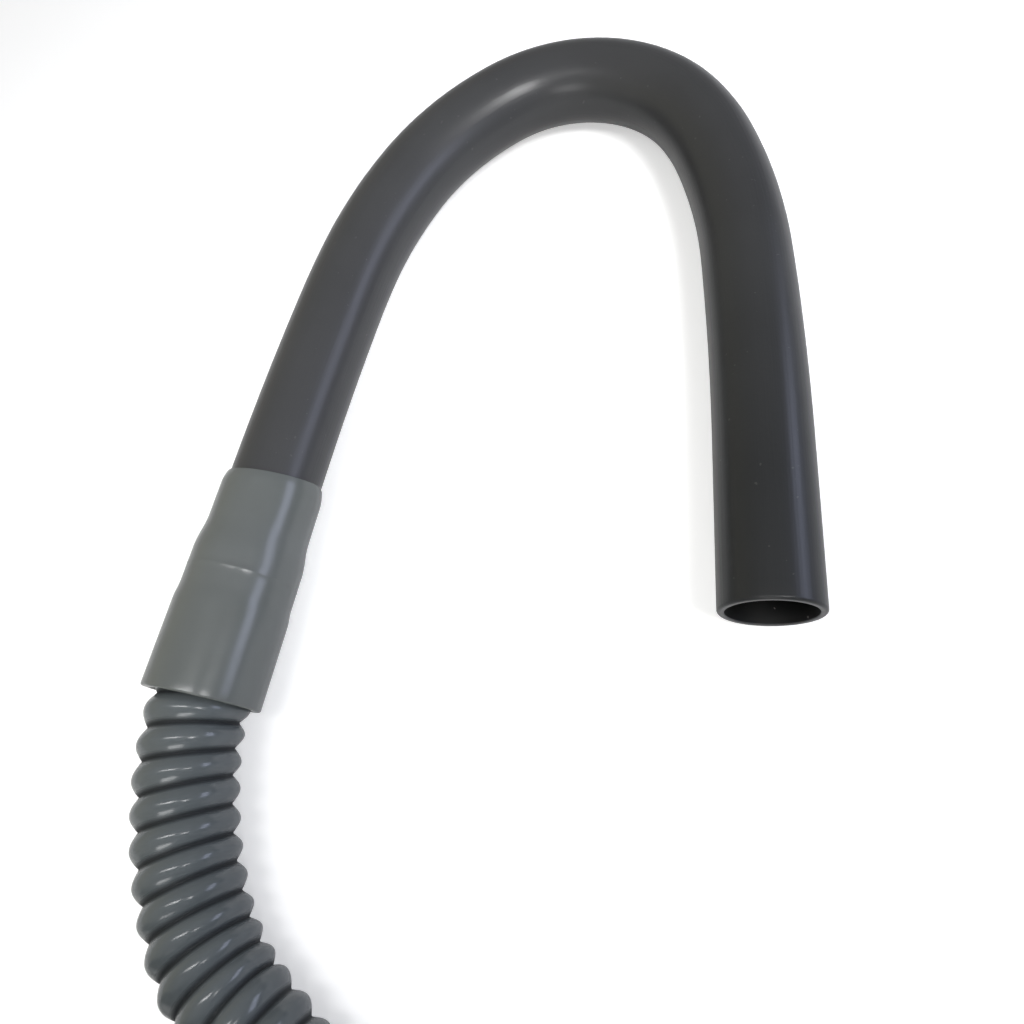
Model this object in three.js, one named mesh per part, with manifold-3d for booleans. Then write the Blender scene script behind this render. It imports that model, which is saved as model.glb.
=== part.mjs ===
// Washing machine drain hose: a bent plastic crook, a moulded joint cuff, a corrugated hose that lies
// on the floor and ends in a coil, and the cuff that fits the machine. Millimetres, +Z up.
// The whole thing lies as it comes to rest, with the crook's mouth pointing along -Y. The origin is
// on the floor, under the middle of the crook and its joint cuff.

import * as THREE from 'three';
import { mergeVertices } from 'three/addons/utils/BufferGeometryUtils.js';
import Module from 'manifold-3d';

// Crook pipe
const pipeOD = 25.4;
const pipeWall = 1.3;
const mouthRound = 0.5; // rounding of the mouth's outer edge
const mouthLeg = 45; // straight length behind the mouth
const crownRadius = 44.5; // centreline radius of the tightest bend, which goes over the standpipe's edge
const bends = [
  // From the mouth: how many times wider than the crown each bend is, and its angle in degrees
  { widths: 22.5, angle: 3.5 },
  { widths: 3.6, angle: 15 },
  { widths: 1.62, angle: 13.5 },
  { widths: 1, angle: 90 },
  { widths: 1.89, angle: 28.5 },
  { widths: 3.19, angle: 15 },
  { widths: 6.3, angle: 3.5 },
  { widths: 24.7, angle: 3.1 },
];
const bendFlattening = 0.03; // share of its width that the pipe loses in its tightest bend
const pipeInsertion = 28; // length of pipe inside the joint cuff

// Joint cuff, from its pipe end to its hose end
const cuffLength = 64;
const lipOD = 26.8; // over the thin lip that grips the pipe
const lipTaper = 5; // length in which the lip thickens to the neck
const neckOD = 28;
const neckLength = 19; // with the lip
const neckShoulder = 6; // length of the slope from the neck to the waist
const waistOD = 30;
const waistLength = 9.5;
const waistShoulder = 4; // length of the slope from the waist to the skirt
const partingAt = 28.6; // the raised line round the waist, where the halves of its mould met
const partingWidth = 0.6;
const partingHeight = 0.15;
const skirtOD = 30.8;
const throughBore = 20;
const lipRound = 0.3; // rounding of the lip's edge
const rimRound = 0.6; // rounding of the other outer edges

// Machine cuff, from its hose end to its open end
const endCuffLength = 58;
const collarOD = 30.8;
const collarLength = 28;
const collarShoulder = 5; // length of the slope from the collar to the spigot sleeve
const sleeveOD = 29;
const sleeveBore = 22.4;
const sleeveDepth = 26;

// Corrugated hose, as the plain tube that its ridges fill
const hoseOD = 25.6;
const hoseInsertion = 26; // length of hose inside each cuff
const hoseSettles = 60; // length in which it comes down from the joint cuff to the floor
const fitClearance = 0.3; // between pieces that fit together or lie on each other
const endPlay = 0.5; // between the end of a pipe or hose and the stop in its socket

// The hose's route on the floor, seen from above. Each point is [across, along], measured from the
// end of the joint cuff. The cuff's own axis points to -along.
const hoseRoute = [
  [0.4, -6],
  [1.4, -11.9],
  [2.7, -17.7],
  [4.5, -23.5],
  [6.5, -29.1],
  [8.8, -34.6],
  [11.6, -40],
  [14.7, -45.1],
  [18.1, -50],
  [22.1, -54.6],
  [26.5, -58.6],
  [31.3, -62.2],
  [36.5, -65.2],
];

// The coil is wound clockwise: one turn on the floor, then up onto its own start and half round again.
const coilCentre = [44, -226];
const coilRadius = 135; // at the middle of the hose
const firstTurn = 360; // degrees of coil that lie on the floor
const climbStart = 105; // degrees before the end of the first turn
const climbEnd = 20;
const tailStart = 85; // degrees before the end of the first turn, where the climb stands clear of it
const cuffClimb = 35; // degrees in which the hose lifts to the height of the thicker machine cuff
const leadOut = 12; // straight hose between the coil and the machine cuff

// Fineness of the facets
const pipeSides = 28;
const pipeStep = 20; // longest stretch of pipe between two rings of facets
const pipeTurn = 8; // most degrees of bend between them
const cuffSides = 36;
const roundParts = 3;
const hoseSides = 12;
const coilSides = 54;
const runSteps = 18;
const tailSteps = 34;

const rad = THREE.MathUtils.degToRad;
const pipeRadius = pipeOD / 2;
const hoseRadius = hoseOD / 2;

const materials = {
  crook: new THREE.MeshStandardMaterial({ color: 0x43464a, roughness: 0.42, metalness: 0 }),
  jointCuff: new THREE.MeshStandardMaterial({ color: 0x676d6c, roughness: 0.38, metalness: 0 }),
  run: new THREE.MeshStandardMaterial({ color: 0x596064, roughness: 0.25, metalness: 0 }),
  coil: new THREE.MeshStandardMaterial({ color: 0x596064, roughness: 0.25, metalness: 0 }),
  tail: new THREE.MeshStandardMaterial({ color: 0x596064, roughness: 0.25, metalness: 0 }),
  endCuff: new THREE.MeshStandardMaterial({ color: 0x676d6c, roughness: 0.38, metalness: 0 }),
};

function named(name, geometry, material) {
  const mesh = new THREE.Mesh(geometry, material);
  mesh.name = name;
  return mesh;
}

// Crook: its centreline is a chain of straights and arcs in one plane, from the mouth along +Y.
const chain = [
  { length: mouthLeg, curvature: 0 },
  ...bends.map(({ widths, angle }) => {
    const radius = widths * crownRadius;
    return { length: radius * rad(angle), curvature: 1 / radius };
  }),
  { length: pipeInsertion, curvature: 0 },
];
const tightest = Math.max(...chain.map((piece) => piece.curvature));

function follow({ x, y, heading }, length, curvature = 0) {
  if (curvature === 0) {
    return { x: x + length * Math.cos(heading), y: y + length * Math.sin(heading), heading };
  }
  const turned = heading + length * curvature;
  return {
    x: x + (Math.sin(turned) - Math.sin(heading)) / curvature,
    y: y - (Math.cos(turned) - Math.cos(heading)) / curvature,
    heading: turned,
  };
}

// The places where a ring of facets stands, with one at each end of every piece of the chain
function ringPlaces() {
  let start = { x: 0, y: 0, heading: Math.PI / 2 };
  const places = [{ ...start, curvature: 0 }];
  for (const { length, curvature } of chain) {
    const parts = Math.ceil(Math.max(length / pipeStep, (length * curvature) / rad(pipeTurn)));
    for (let i = 1; i <= parts; i += 1) {
      places.push({ ...follow(start, (length * i) / parts, curvature), curvature });
    }
    start = follow(start, length, curvature);
  }
  return places;
}

const places = ringPlaces();
const pipeEnd = places[places.length - 1];
const cuffMouth = follow(pipeEnd, -pipeInsertion); // where the pipe enters the joint cuff
const cuffEnd = follow(cuffMouth, cuffLength); // where the hose leaves it

// The wall is turned as a straight tube with a ring for every place. Each ring is then carried to its
// place on the centreline and squeezed a little in the plane of the bend.
function crookPipe() {
  const bore = pipeRadius - pipeWall;
  const rings = [];
  for (let i = 0; i <= roundParts; i += 1) {
    const turn = (i / roundParts) * (Math.PI / 2);
    const radius = pipeRadius - mouthRound * (1 - Math.sin(turn));
    rings.push({ radius, place: follow(places[0], mouthRound * (1 - Math.cos(turn))) });
  }
  places.slice(1).forEach((place) => rings.push({ radius: pipeRadius, place }));
  [...places].reverse().forEach((place) => rings.push({ radius: bore, place }));
  rings.push(rings[0]);

  const profile = rings.map(({ radius }, i) => new THREE.Vector2(radius, i));
  const geometry = new THREE.LatheGeometry(profile, pipeSides);
  const position = geometry.attributes.position;
  for (let i = 0; i < position.count; i += 1) {
    const { place } = rings[Math.round(position.getY(i))];
    const squeeze = 1 - bendFlattening * ((place.curvature ?? 0) / tightest);
    const across = position.getX(i) * squeeze;
    const x = place.x + across * Math.sin(place.heading);
    const y = place.y - across * Math.cos(place.heading);
    position.setXYZ(i, x, y, position.getZ(i));
  }
  geometry.computeVertexNormals();
  return geometry;
}

// A quarter round between two edges of a profile, from the angle `from` in degrees
function rounded(centreX, centreY, radius, from) {
  return Array.from({ length: roundParts + 1 }, (_, i) => {
    const turn = rad(from + (90 * i) / roundParts);
    return new THREE.Vector2(centreX + radius * Math.cos(turn), centreY + radius * Math.sin(turn));
  });
}

// Cuffs are turned about Y. Height 0 is the end that faces back up the chain.
function jointCuff() {
  const neck = neckOD / 2;
  const waist = waistOD / 2;
  const skirt = skirtOD / 2;
  const waistStart = neckLength + neckShoulder;
  const skirtStart = waistStart + waistLength + waistShoulder;
  const pipeSocket = pipeRadius + fitClearance;
  const hoseSocket = hoseRadius + fitClearance;
  const pipeStop = pipeInsertion + endPlay;
  const hoseStop = cuffLength - hoseInsertion - endPlay;
  const profile = [
    new THREE.Vector2(pipeSocket, 0),
    ...rounded(lipOD / 2 - lipRound, lipRound, lipRound, -90),
    new THREE.Vector2(neck, lipTaper),
    new THREE.Vector2(neck, neckLength),
    new THREE.Vector2(waist, waistStart),
    new THREE.Vector2(waist, partingAt - partingWidth / 2),
    new THREE.Vector2(waist + partingHeight, partingAt),
    new THREE.Vector2(waist, partingAt + partingWidth / 2),
    new THREE.Vector2(waist, waistStart + waistLength),
    new THREE.Vector2(skirt, skirtStart),
    ...rounded(skirt - rimRound, cuffLength - rimRound, rimRound, 0),
    new THREE.Vector2(hoseSocket, cuffLength),
    new THREE.Vector2(hoseSocket, hoseStop),
    new THREE.Vector2(throughBore / 2, hoseStop),
    new THREE.Vector2(throughBore / 2, pipeStop),
    new THREE.Vector2(pipeSocket, pipeStop),
    new THREE.Vector2(pipeSocket, 0),
  ];
  return new THREE.LatheGeometry(profile, cuffSides);
}

function machineEndCuff() {
  const collar = collarOD / 2;
  const sleeve = sleeveOD / 2;
  const hoseSocket = hoseRadius + fitClearance;
  const hoseStop = hoseInsertion + endPlay;
  const sleeveStop = endCuffLength - sleeveDepth;
  const profile = [
    new THREE.Vector2(hoseSocket, 0),
    ...rounded(collar - rimRound, rimRound, rimRound, -90),
    new THREE.Vector2(collar, collarLength),
    new THREE.Vector2(sleeve, collarLength + collarShoulder),
    ...rounded(sleeve - rimRound, endCuffLength - rimRound, rimRound, 0),
    new THREE.Vector2(sleeveBore / 2, endCuffLength),
    new THREE.Vector2(sleeveBore / 2, sleeveStop),
    new THREE.Vector2(throughBore / 2, sleeveStop),
    new THREE.Vector2(throughBore / 2, hoseStop),
    new THREE.Vector2(hoseSocket, hoseStop),
    new THREE.Vector2(hoseSocket, 0),
  ];
  return new THREE.LatheGeometry(profile, cuffSides);
}

// The crook lies on its mouth leg and on the first of the joint cuff's skirt, which is thicker than
// the pipe, so the plane of the bends is tipped about the mouth leg.
const skirtPlace = follow(cuffEnd, -(cuffLength - neckLength - neckShoulder - waistLength - waistShoulder));
const tip = Math.asin((skirtOD / 2 - pipeRadius) / -skirtPlace.x);
const crook = new THREE.Group();
crook.position.z = pipeRadius;
crook.rotation.y = tip;
crook.add(named('crook_pipe', crookPipe(), materials.crook));
const cuff = named('joint_cuff', jointCuff(), materials.jointCuff);
cuff.position.set(cuffMouth.x, cuffMouth.y, 0);
cuff.rotation.z = cuffMouth.heading - Math.PI / 2;
crook.add(cuff);

// Hose: everything from here on is measured from the end of the joint cuff, on the floor.
const exitHeight = pipeRadius - cuffEnd.x * Math.sin(tip);
const smooth = (t) => THREE.MathUtils.smoothstep(t, 0, 1);
const centre = new THREE.Vector2(...coilCentre);
const lastOnRoute = new THREE.Vector2(...hoseRoute[hoseRoute.length - 1]);

// The hose runs straight from its last free point to where it touches the coil's circle.
function joinAngle() {
  const away = lastOnRoute.clone().sub(centre);
  return away.angle() - Math.acos(coilRadius / away.length());
}

const join = joinAngle();

// A point on the coil, a number of degrees clockwise from the join
function onCoil(turned, height) {
  const angle = join - rad(turned);
  const x = centre.x + coilRadius * Math.cos(angle);
  const y = centre.y + coilRadius * Math.sin(angle);
  return new THREE.Vector3(x, y, height);
}

function runPath() {
  const height = (along) => THREE.MathUtils.lerp(exitHeight, hoseRadius, smooth(-along / hoseSettles));
  const inCuff = [1, 2 / 3, 1 / 3, 0].map((share) => new THREE.Vector3(0, share * hoseInsertion, exitHeight));
  const free = hoseRoute.map(([across, along]) => new THREE.Vector3(across, along, height(along)));
  const start = free[free.length - 1];
  const end = onCoil(0, hoseRadius);
  const parts = 4;
  const straight = Array.from({ length: parts }, (_, i) => start.clone().lerp(end, (i + 1) / parts));
  return new THREE.CatmullRomCurve3([...inCuff, ...free, ...straight], false, 'centripetal');
}

// The machine cuff lies along X on top of the coil, so the hose leaves the coil there.
const cuffLean = cuffEnd.heading - 1.5 * Math.PI; // of the joint cuff's axis, from -Y
const leaveAngle = -Math.PI / 2 - cuffLean;
const leaveTurned = firstTurn + THREE.MathUtils.radToDeg(join - leaveAngle);
const upperHeight = hoseRadius + hoseOD + fitClearance;
const cuffHeight = hoseOD + fitClearance + collarOD / 2;

function coilHeight(turned) {
  const climbed = smooth((turned - firstTurn + climbStart) / (climbStart - climbEnd));
  const lifted = smooth((turned - leaveTurned + cuffClimb) / cuffClimb);
  return hoseRadius + climbed * (upperHeight - hoseRadius) + lifted * (cuffHeight - upperHeight);
}

const leaving = onCoil(leaveTurned, cuffHeight);
const leavingWay = new THREE.Vector3(Math.sin(leaveAngle), -Math.cos(leaveAngle), 0);

function tailPath() {
  const parts = 30;
  const from = firstTurn - tailStart;
  const onTurns = Array.from({ length: parts + 1 }, (_, i) => {
    const turned = from + ((leaveTurned - from) * i) / parts;
    return onCoil(turned, coilHeight(turned));
  });
  const straight = [leadOut, leadOut + hoseInsertion / 2, leadOut + hoseInsertion].map((length) =>
    leaving.clone().addScaledVector(leavingWay, length));
  return new THREE.CatmullRomCurve3([...onTurns, ...straight], false, 'centripetal');
}

function tube(path, steps) {
  const section = new THREE.Shape();
  for (let i = 0; i < hoseSides; i += 1) {
    const angle = (i / hoseSides) * 2 * Math.PI;
    const corner = [hoseRadius * Math.cos(angle), hoseRadius * Math.sin(angle)];
    if (i === 0) section.moveTo(...corner);
    else section.lineTo(...corner);
  }
  return new THREE.ExtrudeGeometry(section, { steps, extrudePath: path, bevelEnabled: false });
}

function ring(radius) {
  const profile = Array.from({ length: hoseSides + 1 }, (_, i) => {
    const angle = (i / hoseSides) * 2 * Math.PI;
    return new THREE.Vector2(coilRadius + radius * Math.cos(angle), radius * Math.sin(angle));
  });
  const geometry = new THREE.LatheGeometry(profile, coilSides);
  geometry.rotateX(Math.PI / 2);
  geometry.translate(centre.x, centre.y, hoseRadius);
  return geometry;
}

// The run and the tail lie against the coil's ring, so each is cut back to a clearance from it.
const wasm = await Module();
wasm.setup();

function toSolid(geometry) {
  const bare = geometry.clone();
  bare.deleteAttribute('normal');
  bare.deleteAttribute('uv');
  const closed = mergeVertices(bare, 1e-4);
  return new wasm.Manifold(new wasm.Mesh({
    numProp: 3,
    vertProperties: new Float32Array(closed.attributes.position.array),
    triVerts: new Uint32Array(closed.index.array),
  }));
}

function cutBack(geometry) {
  const facetBulge = 1 / Math.cos(Math.PI / hoseSides);
  const room = toSolid(ring((hoseRadius + fitClearance) * facetBulge));
  const { vertProperties, triVerts } = toSolid(geometry).subtract(room).getMesh();
  const cut = new THREE.BufferGeometry();
  cut.setAttribute('position', new THREE.BufferAttribute(vertProperties, 3));
  cut.setIndex(new THREE.BufferAttribute(triVerts, 1));
  cut.computeVertexNormals();
  return cut;
}

const hose = new THREE.Group();
hose.position.set(cuffEnd.x * Math.cos(tip), cuffEnd.y, 0);
hose.rotation.z = cuffLean;
hose.add(named('hose_run', cutBack(tube(runPath(), runSteps)), materials.run));
hose.add(named('hose_coil', ring(hoseRadius), materials.coil));
hose.add(named('hose_tail', cutBack(tube(tailPath(), tailSteps)), materials.tail));
const endCuff = named('machine_end_cuff', machineEndCuff(), materials.endCuff);
endCuff.position.copy(leaving).addScaledVector(leavingWay, leadOut);
endCuff.rotation.z = Math.atan2(leavingWay.y, leavingWay.x) - Math.PI / 2;
hose.add(endCuff);

const part = new THREE.Group();
part.add(crook, hose);
part.updateMatrixWorld(true);
const middle = new THREE.Box3().setFromObject(crook, true).getCenter(new THREE.Vector3());
part.position.set(-middle.x, -middle.y, 0);

export default part;
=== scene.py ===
import math
from bisect import bisect_left

import bpy
from mathutils import Matrix, Vector


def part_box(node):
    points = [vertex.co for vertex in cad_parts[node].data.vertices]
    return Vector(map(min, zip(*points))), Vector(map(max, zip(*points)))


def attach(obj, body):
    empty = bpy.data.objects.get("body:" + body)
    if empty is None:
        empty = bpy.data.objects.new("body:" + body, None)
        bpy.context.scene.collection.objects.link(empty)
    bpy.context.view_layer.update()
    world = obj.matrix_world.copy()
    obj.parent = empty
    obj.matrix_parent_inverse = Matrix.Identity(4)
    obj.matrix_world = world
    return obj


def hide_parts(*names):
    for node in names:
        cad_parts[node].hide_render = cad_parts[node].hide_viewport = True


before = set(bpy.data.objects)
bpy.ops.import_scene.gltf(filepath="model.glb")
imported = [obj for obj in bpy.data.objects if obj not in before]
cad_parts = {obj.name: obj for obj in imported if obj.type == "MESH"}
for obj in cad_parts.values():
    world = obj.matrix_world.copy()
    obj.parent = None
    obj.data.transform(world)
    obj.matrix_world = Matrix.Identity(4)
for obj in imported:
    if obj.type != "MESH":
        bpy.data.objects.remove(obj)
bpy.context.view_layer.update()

# The crook is a length of charcoal plastic pipe, softened and bent in one plane to hook over a
# standpipe. It is one piece, hollow from its round-edged mouth to the end inside the joint cuff,
# which grips it. Its charcoal is painted lighter from near the mouth up to the crown and on to
# that cuff, as painted light on the crown and the leg by the cuff.

PIPE_RADIUS = 0.0127
PIPE_WALL = 0.0018
MOUTH_ROUND = 0.0008
BORE_ROUND = 0.0003
MOUTH_LEG = 0.045
CROWN_RADIUS = 0.0445
# From the mouth: how many times wider than the crown each bend is, and its angle in degrees
BENDS = ((22.5, 3.5), (3.6, 15), (1.62, 13.5), (1, 90), (1.89, 28.5), (3.19, 15), (6.3, 3.5),
         (24.7, 3.1))
BEND_FLATTENING = 0.03
PIPE_INSERTION = 0.028
CUFF_LENGTH = 0.064
SKIRT_RADIUS = 0.0154
SKIRT_FROM_END = 0.0255
CROOK_STEP = 0.003
CROOK_SIDES = 96
MOUTH_PARTS = 8
BORE_PARTS = 3
BEND_BLENDING = 4
PLAIN_CHARCOAL = ((0.0185, 0.0195, 0.0205), (0.0243, 0.0256, 0.0270))
# Painted light: a lighter charcoal for the crown and the leg by the cuff
PAINTED_LIGHT_CHARCOAL = ((0.0480, 0.0485, 0.0507), (0.0590, 0.0596, 0.0618))
PAINTED_LIGHT_FROM = 0.03
PAINTED_LIGHT_WITHIN = 0.19
DUST = (0.20, 0.20, 0.19)
# Painted shade inside the bore, where no light gets in
BORE_PAINTED_SHADE = ((0.0035, 0.0038, 0.0040), (0.0060, 0.0062, 0.0064))
BORE_FLECK = (0.20, 0.19, 0.18)


def onward(place, length, curvature=0.0):
    """A place (x, y, heading) in the plane of the bends, moved on along a straight or an arc."""
    x, y, heading = place
    if curvature == 0:
        return (x + length * math.cos(heading), y + length * math.sin(heading), heading)
    ahead = heading + length * curvature
    return (x + (math.sin(ahead) - math.sin(heading)) / curvature,
            y - (math.cos(ahead) - math.cos(heading)) / curvature,
            ahead)


def crook_places():
    """The pipe's middle line: the distance from the mouth, the place and the curvature."""
    pieces = [(MOUTH_LEG, 0.0)]
    for widths, angle in BENDS:
        radius = widths * CROWN_RADIUS
        pieces.append((radius * math.radians(angle), 1 / radius))
    pieces.append((PIPE_INSERTION, 0.0))
    place = (0.0, 0.0, math.pi / 2)
    places = [(0.0, place, 0.0)]
    travelled = 0.0
    for length, curvature in pieces:
        parts = math.ceil(length / CROOK_STEP)
        for i in range(1, parts + 1):
            along = length * i / parts
            places.append((travelled + along, onward(place, along, curvature), curvature))
        place = onward(place, length, curvature)
        travelled += length
    return places


crook_path = crook_places()
pipe_end = crook_path[-1][1]
cuff_mouth = onward(pipe_end, -PIPE_INSERTION)
cuff_end = onward(cuff_mouth, CUFF_LENGTH)
skirt_start = onward(cuff_end, -SKIRT_FROM_END)

# The pipe lies on its mouth leg and on the thicker cuff, so the plane of the bends is tipped.
tip = math.asin((SKIRT_RADIUS - PIPE_RADIUS) / -skirt_start[0])
crook_low, crook_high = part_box("crook_pipe")
mouth_x = crook_high[0] - PIPE_RADIUS
mouth_y = crook_low[1]


def tipped(x, y, z):
    """A point of the tipped plane of the bends, in the part's own frame."""
    return Vector((mouth_x + x * math.cos(tip) + z * math.sin(tip),
                   mouth_y + y,
                   PIPE_RADIUS - x * math.sin(tip) + z * math.cos(tip)))


def skin(name, rings, closed):
    """A mesh through rings of points. UV holds the way around and the way along, in metres."""
    around = len(rings[0])
    count = len(rings)
    points = [point for ring in rings for point in ring]
    faces = []
    last = count if closed else count - 1
    for i in range(last):
        j = (i + 1) % count
        for k in range(around):
            m = (k + 1) % around
            faces.append((i * around + k, i * around + m, j * around + m, j * around + k))
    mesh = bpy.data.meshes.new(name)
    mesh.from_pydata([tuple(point) for point in points], [], faces)
    run = [0.0]
    for i in range(1, count + 1):
        run.append(run[-1] + (rings[i % count][0] - rings[i - 1][0]).length)
    girth = sum((rings[0][k] - rings[0][k - 1]).length for k in range(around))
    layer = mesh.uv_layers.new(name="way")
    loop = 0
    for i in range(last):
        for k in range(around):
            for ring_step, corner in ((0, 0), (0, 1), (1, 1), (1, 0)):
                layer.data[loop].uv = ((k + corner) / around * girth, run[i + ring_step])
                loop += 1
    mesh.polygons.foreach_set("use_smooth", [True] * len(mesh.polygons))
    mesh.update()
    piece = bpy.data.objects.new(name, mesh)
    bpy.context.collection.objects.link(piece)
    return piece


def smoothed(values, reach):
    out = []
    for i in range(len(values)):
        near = values[max(0, i - reach):i + reach + 1]
        out.append(sum(near) / len(near))
    return out


def crook_rings():
    """Rings down the outside of the pipe and back up its bore, and how many are outside."""
    tightest = max(curvature for _, _, curvature in crook_path)

    def ring(radius, place, curvature):
        x, y, heading = place
        squeeze = 1 - BEND_FLATTENING * curvature / tightest
        points = []
        for k in range(CROOK_SIDES):
            angle = 2 * math.pi * k / CROOK_SIDES
            across = radius * squeeze * math.sin(angle)
            points.append(tipped(x + across * math.sin(heading), y - across * math.cos(heading),
                                 radius * math.cos(angle)))
        return points

    rings = []
    mouth = crook_path[0][1]
    for i in range(MOUTH_PARTS + 1):
        turn = math.pi / 2 * i / MOUTH_PARTS
        radius = PIPE_RADIUS - MOUTH_ROUND * (1 - math.sin(turn))
        rings.append(ring(radius, onward(mouth, MOUTH_ROUND * (1 - math.cos(turn))), 0.0))
    smooth = smoothed([curvature for _, _, curvature in crook_path], BEND_BLENDING)
    for (_, place, _), curvature in zip(crook_path[1:], smooth[1:]):
        rings.append(ring(PIPE_RADIUS, place, curvature))
    bore = PIPE_RADIUS - PIPE_WALL
    skin_rings = len(rings)
    for (_, place, _), curvature in zip(crook_path[:0:-1], smooth[:0:-1]):
        rings.append(ring(bore, place, curvature))
    for i in range(BORE_PARTS + 1):
        turn = math.pi / 2 * i / BORE_PARTS
        rings.append(ring(bore + BORE_ROUND * (1 - math.cos(turn)),
                          onward(mouth, BORE_ROUND * (1 - math.sin(turn))), 0.0))
    return rings, skin_rings


class Finish:
    """A procedural material. Its node method adds any node and returns a socket to build on."""

    def __init__(self, name):
        self.material = bpy.data.materials.new(name)
        self.material.use_nodes = True
        self.take(self.material.node_tree, "ShaderNodeOutputMaterial")

    @classmethod
    def of_tree(cls, tree, output):
        made = cls.__new__(cls)
        made.material = None
        made.take(tree, output)
        return made

    def take(self, tree, output):
        self.tree = tree
        tree.nodes.clear()
        self.output = tree.nodes.new(output)

    def node(self, kind, settings=None, sockets=None, out=0):
        made = self.tree.nodes.new(kind)
        for key, value in (settings or {}).items():
            setattr(made, key, value)
        for key, value in (sockets or {}).items():
            socket = made.inputs[key]
            if isinstance(value, Wire):
                self.tree.links.new(value.socket, socket)
            elif isinstance(value, tuple) and socket.type == "RGBA" and len(value) == 3:
                socket.default_value = (*value, 1)
            else:
                socket.default_value = value
        return Wire(self, made.outputs[out])

    def surface(self, shader):
        self.tree.links.new(shader.socket, self.output.inputs["Surface"])
        return self.material

    def blend(self, share, low, high):
        """A mix of two colours, by the Mix node's sockets for its factor and its colours."""
        return self.node("ShaderNodeMix", {"data_type": "RGBA"},
                         {0: share, 6: low, 7: high}, out=2)

    def grain(self, coords, scale, detail, stretch=None):
        """Noise from 0 to 1 around a half, stretched along an axis where that is asked for."""
        if stretch:
            coords = self.node("ShaderNodeVectorMath", {"operation": "MULTIPLY"},
                               {0: coords, 1: stretch})
        return self.node("ShaderNodeTexNoise", {"noise_dimensions": "3D"},
                         {"Vector": coords, "Scale": scale, "Detail": detail})


class Wire:
    """A socket that takes part in Python sums, which become Math nodes."""

    def __init__(self, finish, socket):
        self.finish = finish
        self.socket = socket

    def sum(self, operation, first, second):
        return self.finish.node("ShaderNodeMath", {"operation": operation}, {0: first, 1: second})

    def __add__(self, other):
        return self.sum("ADD", self, other)

    __radd__ = __add__

    def __sub__(self, other):
        return self.sum("SUBTRACT", self, other)

    def __rsub__(self, other):
        return self.sum("SUBTRACT", other, self)

    def __mul__(self, other):
        return self.sum("MULTIPLY", self, other)

    __rmul__ = __mul__

    def clamp(self):
        """The value, kept from 0 to 1."""
        return self.sum("MAXIMUM", self.sum("MINIMUM", self, 1.0), 0.0)

    def over(self, edge, width):
        """0 below the edge and 1 above it, with a soft step."""
        return ((self - edge) * (1 / width)).clamp()


def crook_finish():
    plastic = Finish("crook_charcoal")
    place = plastic.node("ShaderNodeTexCoord", out="Object")
    way = plastic.node("ShaderNodeUVMap", {"uv_map": "way"})
    cloud = plastic.grain(place, 28, 3)
    fine = plastic.grain(place, 900, 2)
    drawn = plastic.grain(way, 1.0, 3, stretch=(1500, 22, 1))
    dust = plastic.grain(place, 620, 1).over(0.765, 0.02)
    along = plastic.node("ShaderNodeSeparateXYZ", None, {"Vector": way}, out="Y")
    patch = (cloud - 0.5) * 1.6 + 0.5
    # Painted light: the charcoal is blended to a lighter tone from near the mouth to the crown,
    # standing in for the light on the crown and the leg by the cuff.
    base_charcoal = plastic.blend(patch, *PLAIN_CHARCOAL)
    painted_lit = plastic.blend(patch, *PAINTED_LIGHT_CHARCOAL)
    colour = plastic.blend(along.over(PAINTED_LIGHT_FROM, PAINTED_LIGHT_WITHIN), base_charcoal, painted_lit)
    colour = plastic.blend(dust * 0.16, colour, DUST)
    rough = (cloud - 0.5) * 0.12 + (drawn - 0.5) * 0.08 + dust * 0.1 + 0.33
    height = fine * 0.35 + drawn * 0.8 + cloud * 0.4
    normal = plastic.node("ShaderNodeBump", None,
                          {"Strength": 0.22, "Distance": 0.0002, "Height": height})
    shader = plastic.node("ShaderNodeBsdfPrincipled", None, {
        "Base Color": colour, "Roughness": rough, "Normal": normal,
        "Metallic": 0.0, "IOR": 1.48, "Specular IOR Level": 0.38})
    return plastic.surface(shader)


# The bore is the same charcoal plastic, painted near-black as painted shade where no light reaches
# inside.
def bore_shade_finish():
    dark = Finish("crook_bore_painted_shade")
    place = dark.node("ShaderNodeTexCoord", out="Object")
    cloud = dark.grain(place, 120, 3)
    speck = dark.grain(place, 700, 1).over(0.755, 0.02)
    colour = dark.blend(cloud, *BORE_PAINTED_SHADE)
    colour = dark.blend(speck * 0.5, colour, BORE_FLECK)
    normal = dark.node("ShaderNodeBump", None,
                       {"Strength": 0.3, "Distance": 0.0003, "Height": cloud + speck * 0.4})
    return dark.surface(dark.node("ShaderNodeBsdfPrincipled", None, {
        "Base Color": colour, "Roughness": cloud * 0.2 + 0.45, "Normal": normal,
        "Metallic": 0.0, "Specular IOR Level": 0.25}))


outline, skin_rings = crook_rings()
bore_rings = range(skin_rings, len(outline) - BORE_PARTS - 1)
crook = skin("crook", outline, closed=True)
crook.data.materials.append(crook_finish())
crook.data.materials.append(bore_shade_finish())
for face in crook.data.polygons:
    if face.index // CROOK_SIDES in bore_rings:
        face.material_index = 1
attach(crook, "root")
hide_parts("crook_pipe")

# The joint cuff is a flexible grey moulding with a thin lip, cut a little askew, two small steps and
# a fine parting line round its waist. The pipe is pushed into its narrow end and the hose into its
# wide end. Lengths run from the lip.

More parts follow.
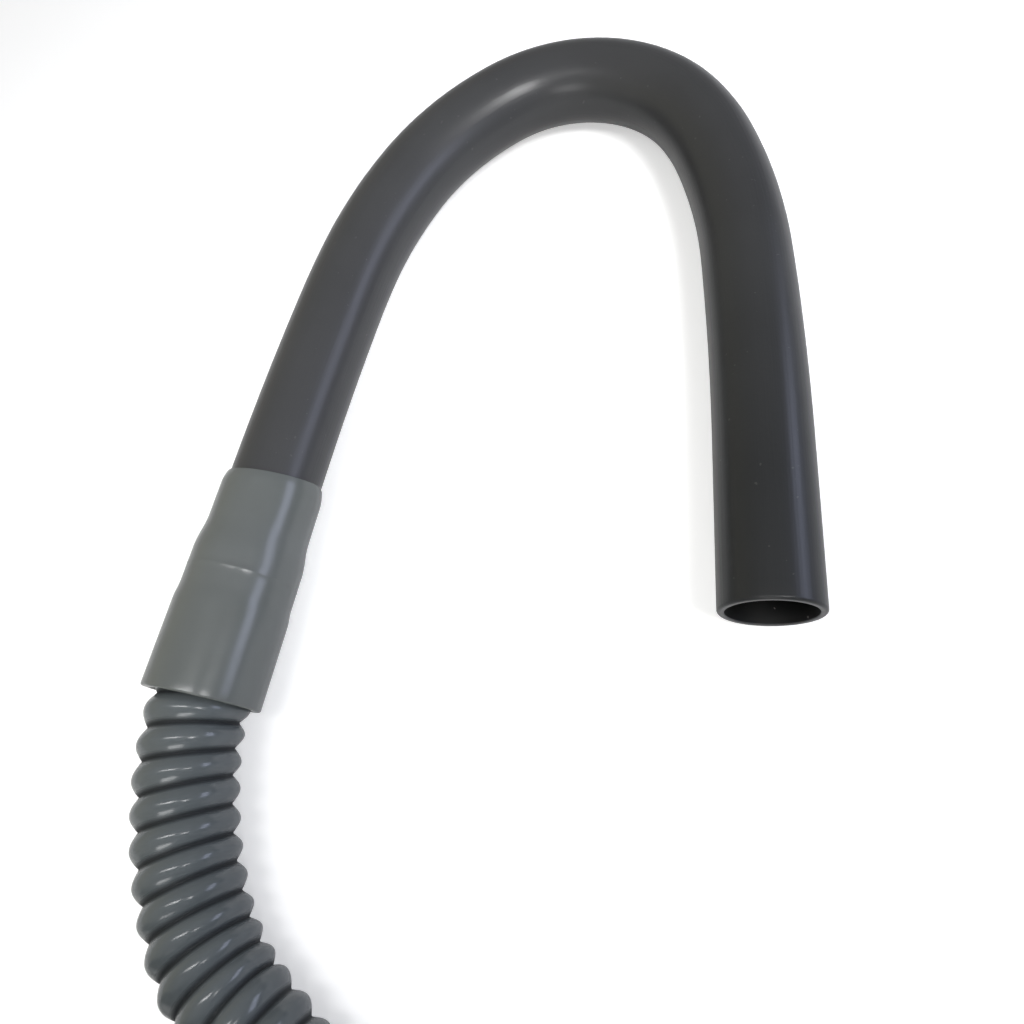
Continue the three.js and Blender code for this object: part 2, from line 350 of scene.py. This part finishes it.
LIP_RADIUS = 0.0134
LIP_TAPER = 0.005
NECK_RADIUS = 0.014
NECK_LENGTH = 0.0165
NECK_SHOULDER = 0.0095
WAIST_RADIUS = 0.015
WAIST_LENGTH = 0.0097
WAIST_SHOULDER = 0.005
THROUGH_RADIUS = 0.010
FIT_CLEARANCE = 0.0003
END_PLAY = 0.0005
HOSE_RADIUS = 0.0128
HOSE_INSERTION = 0.026
LIP_ROUND = 0.0003
RIM_ROUND = 0.0006
PARTING_AT = 0.0308
PARTING_WIDTH = 0.0006
PARTING_HEIGHT = 0.0001
LIP_CUT = 0.0010
LIP_CUT_ACROSS = 0.0002
LIP_CUT_ON_TOP = 0.0024
CUFF_SIDES = 112
CUFF_GREY = ((0.118, 0.128, 0.122), (0.141, 0.152, 0.150))


def arc(centre_radius, centre_height, radius, start, parts=6):
    """A quarter round of a profile, from the start angle in degrees."""
    out = []
    for i in range(parts + 1):
        turn = math.radians(start + 90 * i / parts)
        out.append((centre_radius + radius * math.cos(turn),
                    centre_height + radius * math.sin(turn)))
    return out


def eased(share):
    """A share from 0 to 1 that starts and ends gently."""
    share = min(1, max(0, share))
    return share * share * (3 - 2 * share)


def slope(low, high, parts=12):
    """An S-shaped slope between two (radius, height) points, as a moulding has it."""
    return [(low[0] + (high[0] - low[0]) * eased(i / parts), low[1] + (high[1] - low[1]) * i / parts)
            for i in range(1, parts + 1)]


def swell(low, high, parts=10):
    """A rounded bevel that rises fast and then flattens out."""
    return [(low[0] + (high[0] - low[0]) * math.sin(math.pi / 2 * i / parts),
             low[1] + (high[1] - low[1]) * i / parts) for i in range(1, parts + 1)]


def up_to(start, end, step=0.002):
    """Points along a straight stretch of a profile, without its start."""
    parts = max(1, math.ceil(math.dist(start, end) / step))
    return [(start[0] + (end[0] - start[0]) * i / parts, start[1] + (end[1] - start[1]) * i / parts)
            for i in range(1, parts + 1)]


def joint_cuff_profile():
    waist_start = NECK_LENGTH + NECK_SHOULDER
    waist_end = waist_start + WAIST_LENGTH
    skirt = waist_end + WAIST_SHOULDER
    pipe_socket = PIPE_RADIUS + FIT_CLEARANCE
    hose_socket = HOSE_RADIUS + FIT_CLEARANCE
    pipe_stop = PIPE_INSERTION + END_PLAY
    hose_stop = CUFF_LENGTH - HOSE_INSERTION - END_PLAY
    profile = [(pipe_socket, 0.0)]
    profile += arc(LIP_RADIUS - LIP_ROUND, LIP_ROUND, LIP_ROUND, -90)
    profile += swell(profile[-1], (NECK_RADIUS, LIP_TAPER))
    profile += up_to(profile[-1], (NECK_RADIUS, NECK_LENGTH))
    profile += slope(profile[-1], (WAIST_RADIUS, waist_start))
    half = PARTING_WIDTH / 2
    profile += up_to(profile[-1], (WAIST_RADIUS, PARTING_AT - half))
    profile += [(WAIST_RADIUS + PARTING_HEIGHT, PARTING_AT), (WAIST_RADIUS, PARTING_AT + half)]
    profile += up_to(profile[-1], (WAIST_RADIUS, waist_end))
    profile += slope(profile[-1], (SKIRT_RADIUS, skirt))
    profile += up_to(profile[-1], (SKIRT_RADIUS, CUFF_LENGTH - RIM_ROUND))
    profile += arc(SKIRT_RADIUS - RIM_ROUND, CUFF_LENGTH - RIM_ROUND, RIM_ROUND, 0)[1:]
    inside = [(hose_socket, CUFF_LENGTH), (hose_socket, hose_stop), (THROUGH_RADIUS, hose_stop),
              (THROUGH_RADIUS, pipe_stop), (pipe_socket, pipe_stop)]
    for corner in inside:
        profile += up_to(profile[-1], corner)
    profile += up_to(profile[-1], profile[0])[:-1]
    return profile


def turned(name, profile, place_of):
    """A piece turned from a closed profile. place_of gives a point from across, height and up."""
    rings = []
    for radius, height in profile:
        ring = []
        for k in range(CUFF_SIDES):
            angle = 2 * math.pi * k / CUFF_SIDES
            ring.append(place_of(radius * math.sin(angle), height, radius * math.cos(angle)))
        rings.append(ring)
    return skin(name, rings, closed=True)


def on_joint(across, height, up):
    near_lip = max(0.0, 1 - height / NECK_LENGTH) ** 2
    askew = LIP_CUT + (LIP_CUT_ACROSS * across + LIP_CUT_ON_TOP * max(0.0, up)) / NECK_RADIUS
    x, y, heading = onward(cuff_mouth, height + near_lip * askew)
    return tipped(x + across * math.sin(heading), y - across * math.cos(heading), up)


def cuff_finish():
    moulding = Finish("cuff_grey")
    place = moulding.node("ShaderNodeTexCoord", out="Object")
    cloud = moulding.grain(place, 45, 3)
    blotch = moulding.grain(place, 140, 2)
    fine = moulding.grain(place, 1400, 2)
    share = (cloud - 0.5) * 1.3 + (blotch - 0.5) * 0.4 + 0.5
    colour = moulding.blend(share, *CUFF_GREY)
    rough = (cloud - 0.5) * 0.08 + (fine - 0.5) * 0.05 + 0.23
    height = fine * 0.08 + blotch * 0.7 + cloud * 1.5
    normal = moulding.node("ShaderNodeBump", None,
                           {"Strength": 0.25, "Distance": 0.0003, "Height": height})
    shader = moulding.node("ShaderNodeBsdfPrincipled", None, {
        "Base Color": colour, "Roughness": rough, "Normal": normal,
        "Metallic": 0.0, "IOR": 1.5})
    return moulding.surface(shader)


cuff_grey = cuff_finish()
joint = turned("joint_moulding", joint_cuff_profile(), on_joint)
joint.data.materials.append(cuff_grey)
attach(joint, "root")
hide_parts("joint_cuff")

# The hose is one length of blown blue-grey plastic with a spiral of round ridges, with painted shade
# darkening the grooves between them. It leaves the joint cuff, settles on the floor, and the rest of
# it is put away as a coil. Its ends are pushed into the two cuffs.

HOSE_ROOT = 0.0107
RIDGE_PITCH = 0.0075
RIDGE_START = 0.11
HOSE_BORE = 0.0105
HOSE_SETTLES = 0.060
LAYER_GAP = 0.0003
COLLAR_RADIUS = 0.0154
HOSE_ROUTE = ((0.0004, -0.006), (0.0014, -0.0119), (0.0027, -0.0177), (0.0045, -0.0235),
              (0.0065, -0.0291), (0.0088, -0.0346), (0.0116, -0.040), (0.0147, -0.0451),
              (0.0181, -0.050), (0.0221, -0.0546), (0.0265, -0.0586), (0.0313, -0.0622),
              (0.0365, -0.0652))
COIL_CENTRE = (0.044, -0.226)
COIL_RADIUS = 0.135
CLIMB_START = 105
CLIMB_END = 20
CUFF_CLIMB = 35
LEAD_OUT = 0.012
COIL_PARTS = 75
HOSE_SIDES = 52
FINE_LENGTH = 0.19
FINE_STEP = 0.00048
COARSE_STEP = 0.00096
LINER_LENGTH = 0.03
LINER_TIP = 0.0004
LOOK_AHEAD = 0.0008
HOSE_GREY = ((0.096, 0.109, 0.113), (0.122, 0.137, 0.142))
GROOVE_PAINTED_SHADE = (0.010, 0.012, 0.014)

exit_height = PIPE_RADIUS - cuff_end[0] * math.sin(tip)
cuff_lean = cuff_end[2] + math.pi / 2 - 2 * math.pi


def laid(across, along, height):
    """A point that is measured from the end of the joint cuff, in the part's own frame."""
    cos, sin = math.cos(cuff_lean), math.sin(cuff_lean)
    foot = Vector((mouth_x + cuff_end[0] * math.cos(tip), mouth_y + cuff_end[1], 0))
    return foot + Vector((across * cos - along * sin, across * sin + along * cos, height))


from_centre = (HOSE_ROUTE[-1][0] - COIL_CENTRE[0], HOSE_ROUTE[-1][1] - COIL_CENTRE[1])
join = (math.atan2(from_centre[1], from_centre[0])
        - math.acos(COIL_RADIUS / math.hypot(*from_centre)))
leave = -math.pi / 2 - cuff_lean
leave_turned = 360 + math.degrees(join - leave) % 360
upper_height = 3 * HOSE_RADIUS + LAYER_GAP
cuff_height = 2 * HOSE_RADIUS + LAYER_GAP + COLLAR_RADIUS


def on_coil(turned_by, height):
    """A point of the coil, by the degrees from where the hose joins it."""
    angle = join - math.radians(turned_by)
    return laid(COIL_CENTRE[0] + COIL_RADIUS * math.cos(angle),
                COIL_CENTRE[1] + COIL_RADIUS * math.sin(angle), height)


def coil_height(turned_by):
    climbed = eased((turned_by - 360 + CLIMB_START) / (CLIMB_START - CLIMB_END))
    lifted = eased((turned_by - leave_turned + CUFF_CLIMB) / CUFF_CLIMB)
    return (HOSE_RADIUS + climbed * (upper_height - HOSE_RADIUS)
            + lifted * (cuff_height - upper_height))


leaving = on_coil(leave_turned, cuff_height)
leaving_way = (on_coil(leave_turned + 0.01, cuff_height)
               - on_coil(leave_turned - 0.01, cuff_height)).normalized()


def hose_points():
    points = [laid(0, share * HOSE_INSERTION, exit_height) for share in (1, 2 / 3, 1 / 3, 0)]
    for across, along in HOSE_ROUTE:
        settled = eased(-along / HOSE_SETTLES)
        points.append(laid(across, along, exit_height + settled * (HOSE_RADIUS - exit_height)))
    start, end = points[-1], on_coil(0, HOSE_RADIUS)
    points += [start.lerp(end, share) for share in (0.25, 0.5, 0.75)]
    for i in range(COIL_PARTS + 1):
        turned_by = leave_turned * i / COIL_PARTS
        points.append(on_coil(turned_by, coil_height(turned_by)))
    for length in (LEAD_OUT, LEAD_OUT + HOSE_INSERTION / 2, LEAD_OUT + HOSE_INSERTION):
        points.append(leaving + leaving_way * length)
    return points


def curve_through(points, fineness=0.001):
    """A smooth curve through points, as closely spaced points with their distance along it."""
    spans = [(b - a).length for a, b in zip(points, points[1:])]
    slopes = [(points[1] - points[0]) / spans[0]]
    for i in range(1, len(points) - 1):
        before, after = spans[i - 1], spans[i]
        slopes.append(((points[i] - points[i - 1]) / before * after
                       + (points[i + 1] - points[i]) / after * before) / (before + after))
    slopes.append((points[-1] - points[-2]) / spans[-1])
    curve = [(0.0, points[0])]
    for i, span in enumerate(spans):
        parts = max(1, math.ceil(span / fineness))
        for k in range(1, parts + 1):
            t = k / parts
            point = (points[i] * (2 * t ** 3 - 3 * t ** 2 + 1)
                     + slopes[i] * span * (t ** 3 - 2 * t ** 2 + t)
                     + points[i + 1] * (3 * t ** 2 - 2 * t ** 3)
                     + slopes[i + 1] * span * (t ** 3 - t ** 2))
            curve.append((curve[-1][0] + (point - curve[-1][1]).length, point))
    return curve


hose_curve = curve_through(hose_points())
hose_length = hose_curve[-1][0]
hose_marks = [mark for mark, _ in hose_curve]


def along_hose(distance):
    """The point of the hose's middle line at a distance from its start."""
    i = min(max(bisect_left(hose_marks, distance) - 1, 0), len(hose_curve) - 2)
    (low, a), (high, b) = hose_curve[i], hose_curve[i + 1]
    return a.lerp(b, (distance - low) / (high - low))


def ridge(turns):
    """How far a point stands out, from 0 in the groove to 1 on the ridge."""
    return abs(math.cos(math.pi * turns))


def hose_rings():
    """Rings of the skin with a short liner at each end, the middle line, and each point's rise."""
    distances = []
    distance = 0.0
    while distance < hose_length:
        distances.append(distance)
        distance += FINE_STEP if distance < HOSE_INSERTION + FINE_LENGTH else COARSE_STEP
    distances[-1] = hose_length
    rings = []
    centres = []
    rises = []

    def frame_at(distance):
        ahead = min(hose_length, distance + LOOK_AHEAD)
        behind = max(0.0, distance - LOOK_AHEAD)
        way = (along_hose(ahead) - along_hose(behind)).normalized()
        side = way.cross(Vector((0, 0, 1))).normalized()
        return along_hose(distance), side, side.cross(way)

    def plain(distance, radius):
        rises.extend([0.0] * HOSE_SIDES)
        centre, side, up = frame_at(distance)
        return [centre + side * radius * math.sin(2 * math.pi * k / HOSE_SIDES)
                + up * radius * math.cos(2 * math.pi * k / HOSE_SIDES) for k in range(HOSE_SIDES)]

    rings.append(plain(LINER_LENGTH, LINER_TIP))
    rings.append(plain(LINER_LENGTH, HOSE_BORE))
    rings.append(plain(0.0, HOSE_BORE))
    for distance in distances:
        centre, side, up = frame_at(distance)
        ring = []
        for k in range(HOSE_SIDES):
            share = k / HOSE_SIDES
            out = ridge(distance / RIDGE_PITCH - share + RIDGE_START)
            rises.append(out)
            radius = HOSE_ROOT + (HOSE_RADIUS - HOSE_ROOT) * out
            ring.append(centre + side * radius * math.sin(2 * math.pi * share)
                        + up * radius * math.cos(2 * math.pi * share))
        rings.append(ring)
        centres.append(centre)
    rings.append(plain(hose_length, HOSE_BORE))
    rings.append(plain(hose_length - LINER_LENGTH, HOSE_BORE))
    rings.append(plain(hose_length - LINER_LENGTH, LINER_TIP))
    return rings, centres, rises


def hose_finish():
    gloss = Finish("hose_blue_grey")
    place = gloss.node("ShaderNodeTexCoord", out="Object")
    cloud = gloss.grain(place, 60, 3)
    blotch = gloss.grain(place, 260, 2)
    share = (cloud - 0.5) * 1.2 + (blotch - 0.5) * 0.5 + 0.5
    rise = gloss.node("ShaderNodeAttribute", {"attribute_name": "rise"}, out="Fac")
    # Painted shade: the grooves are darkened in colour and covered with a dark diffuse sheet, where
    # shade falls between the ridges.
    groove = 1 - rise.over(0.1, 0.4)
    colour = gloss.blend(share, *HOSE_GREY)
    colour = gloss.blend(groove * 0.9, colour, GROOVE_PAINTED_SHADE)
    rough = (blotch - 0.5) * 0.06 + groove * 0.45 + 0.18
    height = blotch * 0.25 + cloud * 0.9
    normal = gloss.node("ShaderNodeBump", None,
                        {"Strength": 0.2, "Distance": 0.0003, "Height": height})
    shader = gloss.node("ShaderNodeBsdfPrincipled", None, {
        "Base Color": colour, "Roughness": rough, "Normal": normal,
        "Metallic": 0.0, "IOR": 1.5, "Specular IOR Level": 0.42})
    groove_shade = gloss.node("ShaderNodeBsdfDiffuse", None, {"Color": GROOVE_PAINTED_SHADE})
    return gloss.surface(gloss.node("ShaderNodeMixShader", None,
                                    {0: groove * 0.35, 1: shader, 2: groove_shade}))


rings, hose_centres, hose_rises = hose_rings()
hose = skin("hose", rings, closed=False)
hose.data.attributes.new("rise", "FLOAT", "POINT").data.foreach_set("value", hose_rises)
hose.data.materials.append(hose_finish())
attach(hose, "root")
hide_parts("hose_run", "hose_coil", "hose_tail")

# The machine cuff is the same grey moulding, straight and stepped down to a sleeve that goes over
# the pump's outlet. The hose is pushed into its wide end. It lies on top of the coil.

END_CUFF_LENGTH = 0.058
COLLAR_LENGTH = 0.028
COLLAR_SHOULDER = 0.005
SLEEVE_RADIUS = 0.0145
SLEEVE_BORE = 0.0112
SLEEVE_DEPTH = 0.026


def end_cuff_profile():
    hose_socket = HOSE_RADIUS + FIT_CLEARANCE
    hose_stop = HOSE_INSERTION + END_PLAY
    sleeve_stop = END_CUFF_LENGTH - SLEEVE_DEPTH
    profile = [(hose_socket, 0.0)]
    profile += arc(COLLAR_RADIUS - RIM_ROUND, RIM_ROUND, RIM_ROUND, -90)
    profile += up_to(profile[-1], (COLLAR_RADIUS, COLLAR_LENGTH))
    profile += slope(profile[-1], (SLEEVE_RADIUS, COLLAR_LENGTH + COLLAR_SHOULDER))
    profile += up_to(profile[-1], (SLEEVE_RADIUS, END_CUFF_LENGTH - RIM_ROUND))
    profile += arc(SLEEVE_RADIUS - RIM_ROUND, END_CUFF_LENGTH - RIM_ROUND, RIM_ROUND, 0)[1:]
    inside = [(SLEEVE_BORE, END_CUFF_LENGTH), (SLEEVE_BORE, sleeve_stop),
              (THROUGH_RADIUS, sleeve_stop), (THROUGH_RADIUS, hose_stop), (hose_socket, hose_stop)]
    for corner in inside:
        profile += up_to(profile[-1], corner)
    profile += up_to(profile[-1], profile[0])[:-1]
    return profile


end_cuff_foot = leaving + leaving_way * LEAD_OUT
end_cuff_side = leaving_way.cross(Vector((0, 0, 1)))


def on_end(across, height, up):
    return end_cuff_foot + leaving_way * height + end_cuff_side * across + Vector((0, 0, up))


end_cuff = turned("machine_moulding", end_cuff_profile(), on_end)
end_cuff.data.materials.append(cuff_grey)
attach(end_cuff, "root")
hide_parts("machine_end_cuff")

tuple(laid(0, 0, exit_height))

# The hose lies on a plain floor in a room with a pale wall on the left, a dark one on the right
# and a grey ceiling. The floor is white to the camera and greyer in what it throws on the hose.

FLOOR_HALF = 6.0
LEFT_WALL = (0.54, 0.52, 0.42)
RIGHT_WALL = (0.09, 0.095, 0.12)
END_WALLS = (0.27, 0.27, 0.26)
CEILING = (0.38, 0.38, 0.38)


def floor_finish():
    paint = Finish("floor_white")
    camera_ray = paint.node("ShaderNodeLightPath", out="Is Camera Ray")
    glossy = paint.node("ShaderNodeLightPath", out="Is Glossy Ray")
    through = paint.node("ShaderNodeLightPath", out="Is Transmission Ray")
    seen = (camera_ray + (glossy + through) * 0.4).clamp()
    plain = paint.node("ShaderNodeBsdfDiffuse", None, {"Color": (0.62, 0.62, 0.62)})
    white = paint.node("ShaderNodeBsdfDiffuse", None, {"Color": (0.90, 0.90, 0.90)})
    lift = paint.node("ShaderNodeEmission", None, {"Color": (1.0, 1.0, 1.0), "Strength": 0.46})
    bright = paint.node("ShaderNodeAddShader", None, {0: white, 1: lift})
    return paint.surface(paint.node("ShaderNodeMixShader", None, {0: seen, 1: plain, 2: bright}))


floor_mesh = bpy.data.meshes.new("floor")
floor_mesh.from_pydata([(-FLOOR_HALF, -FLOOR_HALF, 0), (FLOOR_HALF, -FLOOR_HALF, 0),
                        (FLOOR_HALF, FLOOR_HALF, 0), (-FLOOR_HALF, FLOOR_HALF, 0)],
                       [], [(0, 1, 2, 3)])
floor = bpy.data.objects.new("floor", floor_mesh)
bpy.context.collection.objects.link(floor)
floor_mesh.materials.append(floor_finish())

world = bpy.data.worlds.new("room")
bpy.context.scene.world = world
world.use_nodes = True
room = Finish.of_tree(world.node_tree, "ShaderNodeOutputWorld")
direction = room.node("ShaderNodeTexCoord", out="Generated")
east = room.node("ShaderNodeSeparateXYZ", None, {"Vector": direction}, out="X")
north = room.node("ShaderNodeSeparateXYZ", None, {"Vector": direction}, out="Y")
height = room.node("ShaderNodeSeparateXYZ", None, {"Vector": direction}, out="Z")
walls = room.blend((east * 1.2 + 0.5).clamp(), LEFT_WALL, RIGHT_WALL)
walls = room.blend((north * north).clamp(), walls, END_WALLS)
around = room.blend(height.over(0.45, 0.35), walls, CEILING)
room.surface(room.node("ShaderNodeBackground", None, {"Color": around, "Strength": 1.0}))

# Four lamps give the photograph's highlights: a cool window on the right that draws the long streak
# down the pipe and cuff, a tube over the hose, a gridded softbox for the crown, and a lamp in front.


def lamp(name, place, aim, spread, width, height, power, colour=(1.0, 1.0, 1.0)):
    light = bpy.data.lights.new(name, "AREA")
    light.shape = "RECTANGLE"
    light.size = width
    light.size_y = height
    light.spread = math.radians(spread)
    light.energy = power
    light.color = colour
    holder = bpy.data.objects.new(name, light)
    bpy.context.collection.objects.link(holder)
    holder.location = place
    holder.rotation_euler = (Vector(aim) - Vector(place)).to_track_quat("-Z", "Y").to_euler()


lamp("window", (0.98, 0.20, 0.40), (0, 0, 0), 180, 0.85, 0.32, 3.7, (0.70, 0.76, 1.0))
lamp("tube", (-0.145, -0.175, 0.52), (-0.145, -0.15, 0), 70, 0.36, 0.08, 0.20)
lamp("softbox", (0.30, -0.20, 0.52), (-0.01, 0.08, 0), 42, 0.20, 0.17, 0.18)
lamp("front_lamp", (-0.10, -1.40, 0.62), (-0.06, -0.13, 0), 180, 0.60, 0.30, 3.6)

# The camera hangs 20 cm above the floor and looks down and a little to the left, as was fitted to
# the photograph.

CAMERA_PLACE = (0.05347, -0.13490, 0.20049)
CAMERA_UP = Vector((0.0108, 0.9245, 0.3810))
CAMERA_BACK = Vector((0.2184, -0.3741, 0.9013))
SENSOR_WIDTH = 36
LENS = 27.42

camera_data = bpy.data.cameras.new("camera")
camera_data.sensor_width = SENSOR_WIDTH
camera_data.lens = LENS
camera_data.clip_start = 0.01
camera = bpy.data.objects.new("camera", camera_data)
bpy.context.collection.objects.link(camera)
camera.location = CAMERA_PLACE
right = CAMERA_UP.cross(CAMERA_BACK).normalized()
up = CAMERA_BACK.cross(right).normalized()
back = CAMERA_BACK.normalized()
camera.rotation_euler = Matrix((right, up, back)).transposed().to_euler()
bpy.context.scene.camera = camera
bpy.context.scene.view_settings.view_transform = "Standard"
